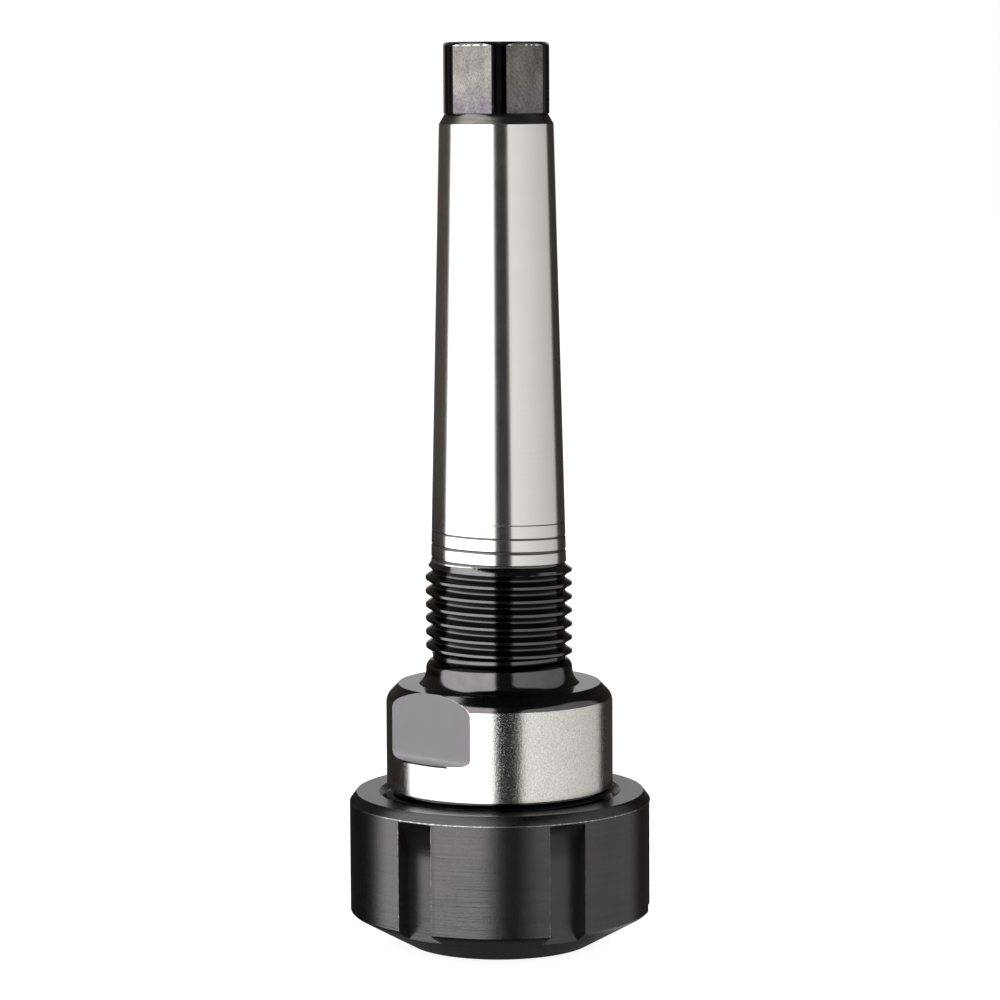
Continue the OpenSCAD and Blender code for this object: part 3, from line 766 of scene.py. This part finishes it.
# The studio: a white room, a pale floor, and a light tent that only reflections see. The tent's wall
# glows by its angle from the camera, in degrees: a tall soft box on the left, a lower and weaker one on
# the right and a narrow pale strip behind, with dark cards between them. Its lid is dark, and its bottom
# is pale on the right. Heights are in millimetres.
studio = {
    "left": {"from": -100.0, "to": -6.5, "fromSoft": 4.0, "toSoft": 3.0, "top": 430.0, "topSoft": 50.0,
             "drop": 140.0, "power": 10.0, "glow": 3.0},
    "right": {"from": 21.0, "to": 118.0, "fromSoft": 3.0, "toSoft": 4.0, "top": 235.0, "topSoft": 15.0,
              "drop": 100.0, "power": 6.0, "glow": 1.15},
    "rightFade": 0.0045, "card": 0.04, "sideLow": 0.03, "sideHigh": 0.09, "sideRight": 0.05,
    "rear": 0.52, "rearHalf": 166.0, "rearSoft": 3.0, "lid": 0.02, "foot": 0.08, "footRight": 0.6,
    "tentR": 183.0, "tentFoot": -55.0, "tentTop": 520.0,
    "warmTint": (1.0, 0.985, 0.965), "sideTint": (1.0, 0.87, 0.78),
    "floorColour": 0.5, "floorGlow": 0.9, "floorR": 3000.0, "floorZ": -0.01, "worldLevel": 0.62,
}


# The shape of a soft box on the tent's wall: smooth steps at its two sides and at its upper end, which
# falls towards the corners by drop * |place across| ^ power
def softBox(s, angle, z):
    sides = rise(angle, s["from"] - s["fromSoft"], s["from"] + s["fromSoft"])
    sides = sides * rise(angle, s["to"] + s["toSoft"], s["to"] - s["toSoft"])
    across = (angle - (s["from"] + s["to"]) / 2) / ((s["to"] - s["from"]) / 2)
    end = s["top"] - s["drop"] * abs(across) ** s["power"]
    return sides * rise(z - end, s["topSoft"], -s["topSoft"]) * s["glow"]


# The tent: a closed cylinder that reaches below the floor. Its glow is the sum of the soft boxes, the
# cards and the rear strip on the wall, and of the lid's and the bottom's off it. The right soft box is a
# little warm and fades away from the camera, and the dark cards at both sides are warmer.
def makeTent(s, azimuth):
    t = np.linspace(0, 2 * math.pi, 97)[:-1]
    wall = np.array([(s["tentR"] * math.cos(a), s["tentR"] * math.sin(a), z)
                     for z in (s["tentFoot"], s["tentTop"]) for a in t]) * mm
    n = len(t)
    faces = [(i, (i + 1) % n, n + (i + 1) % n, n + i) for i in range(n)]
    mesh = bpy.data.meshes.new("lightTent")
    mesh.from_pydata(wall.tolist(), [], faces + [tuple(range(n, 2 * n)), tuple(range(n))])
    material, finish = startFinish("tentGlow")
    x, y, z = placeOn(finish)
    angle = placeRound(finish, x, y)[1]
    fromCamera = fromWhole((angle / math.pi * 180.0 - (azimuth - 90.0)) / 360.0) * 360.0
    left, right = s["left"], s["right"]
    rear = rise(abs(fromCamera), s["rearHalf"] - s["rearSoft"], s["rearHalf"] + s["rearSoft"])
    sideLeft = rise(fromCamera, left["from"] + left["fromSoft"], left["from"] - left["fromSoft"])
    sideRight = rise(fromCamera, right["to"] - right["toSoft"], right["to"] + right["toSoft"])
    sideGlow = s["sideLow"] + (s["sideHigh"] - s["sideLow"]) * rise(z, 25.0, 60.0)
    sides = sideLeft * sideGlow + sideRight * s["sideRight"]
    fade = 1.0 - s["rightFade"] * (fromCamera - right["from"])
    warm = finish.calc("MAXIMUM", softBox(right, fromCamera, z) * fade, 0.0)
    plain = (1 - sideLeft - sideRight) * s["card"] + softBox(left, fromCamera, z) + rear * s["rear"]
    across = x * math.cos(math.radians(azimuth)) + y * math.sin(math.radians(azimuth))
    below = s["foot"] + (s["footRight"] - s["foot"]) * rise(across, 28.0, 42.0)
    ends = rise(z, 10.0, 0.0) * (below - s["lid"]) + s["lid"]
    inWall = rise(z, s["tentTop"] - 1, s["tentTop"] - 2) * rise(z, s["tentFoot"] + 1, s["tentFoot"] + 2)
    red, green, blue = (inWall * (plain + warm * a + sides * b) + (1 - inWall) * ends
                        for a, b in zip(s["warmTint"], s["sideTint"]))
    colour = finish.node("ShaderNodeCombineColor", None, {0: red, 1: green, 2: blue})
    glow = finish.node("ShaderNodeEmission", None, {"Color": colour, "Strength": 1.0})
    finish.node("ShaderNodeOutputMaterial", None, {"Surface": glow})
    mesh.materials.append(material)
    tent = bpy.data.objects.new("lightTent", mesh)
    tent.visible_camera = tent.visible_diffuse = tent.visible_shadow = tent.visible_transmission = False
    bpy.context.scene.collection.objects.link(tent)


# 1 for a ray that the camera sees at once, in a mirror or through glass, and 0 for one that only lights
def seenRay(finish):
    ray = finish.node("ShaderNodeLightPath").socket.node
    kinds = ("Is Camera Ray", "Is Glossy Ray", "Is Transmission Ray")
    return sum(Signal(finish.tree, ray.outputs[kind]) for kind in kinds)


# The floor: pale and matte, with enough glow of its own for the camera to end up white away from the
# chuck, so that only the soft shadow shows
def makeFloor(s):
    t = np.linspace(0, 2 * math.pi, 65)[:-1]
    ring = np.array([(s["floorR"] * math.cos(a), s["floorR"] * math.sin(a), s["floorZ"]) for a in t]) * mm
    mesh = bpy.data.meshes.new("floor")
    mesh.from_pydata(ring.tolist(), [], [tuple(range(len(t)))])
    material, finish = startFinish("paleFloor")
    matte = finish.node("ShaderNodeBsdfDiffuse", None, {"Color": (s["floorColour"],) * 3 + (1,)})
    glow = finish.node("ShaderNodeEmission", None,
                       {"Color": (1, 1, 1, 1), "Strength": seenRay(finish) * s["floorGlow"]})
    both = finish.node("ShaderNodeAddShader", None, {0: matte, 1: glow})
    finish.node("ShaderNodeOutputMaterial", None, {"Surface": both})
    mesh.materials.append(material)
    floor = bpy.data.objects.new("floor", mesh)
    floor.visible_glossy = False  # the tent shows through it in reflections
    bpy.context.scene.collection.objects.link(floor)


# World: white to the camera and to reflections, a plain level for what it lights
def makeWorld(level):
    world = bpy.data.worlds.new("studioWorld")
    bpy.context.scene.world = world
    world.use_nodes = True
    world.node_tree.nodes.clear()
    world.cycles.sampling_method = "NONE"  # a lamp's rays would pass the tent and haze the metal
    sky = Signal(world.node_tree)
    back = sky.node("ShaderNodeBackground", None,
                    {"Color": (1, 1, 1, 1), "Strength": level + seenRay(sky) * (1 - level)})
    sky.node("ShaderNodeOutputWorld", None, {"Surface": back})


# The lamps that light what is matte: degrees from the camera and above the floor, metres and watts
lamps = {
    "softBoxLeft": {"azimuth": -50, "elevation": 50, "distance": 0.7, "size": 0.5, "power": 3.2},
    "softBoxRight": {"azimuth": 60, "elevation": 40, "distance": 0.8, "size": 0.5, "power": 1.6},
}
lampAim = Vector((0, 0, 0.05))  # what they point at, on the chuck's axis


# A soft lamp: a disk that looks at the aim from its azimuth, elevation and distance
def makeLamp(name, s, cameraAzimuth):
    az, el = math.radians(cameraAzimuth + s["azimuth"]), math.radians(s["elevation"])
    way = Vector((math.sin(az) * math.cos(el), -math.cos(az) * math.cos(el), math.sin(el)))
    data = bpy.data.lights.new(name, "AREA")
    data.shape, data.size, data.energy = "DISK", s["size"], s["power"]
    lamp = bpy.data.objects.new(name, data)
    lamp.location = way * s["distance"] + lampAim
    lamp.rotation_euler = way.to_track_quat("Z", "Y").to_euler()
    lamp.visible_glossy = False
    bpy.context.scene.collection.objects.link(lamp)


print("setting the studio")
makeTent(studio, shot["azimuth"])
makeFloor(studio)
makeWorld(studio["worldLevel"])
for lampName, lampValues in lamps.items():
    makeLamp(lampName, lampValues, shot["azimuth"])
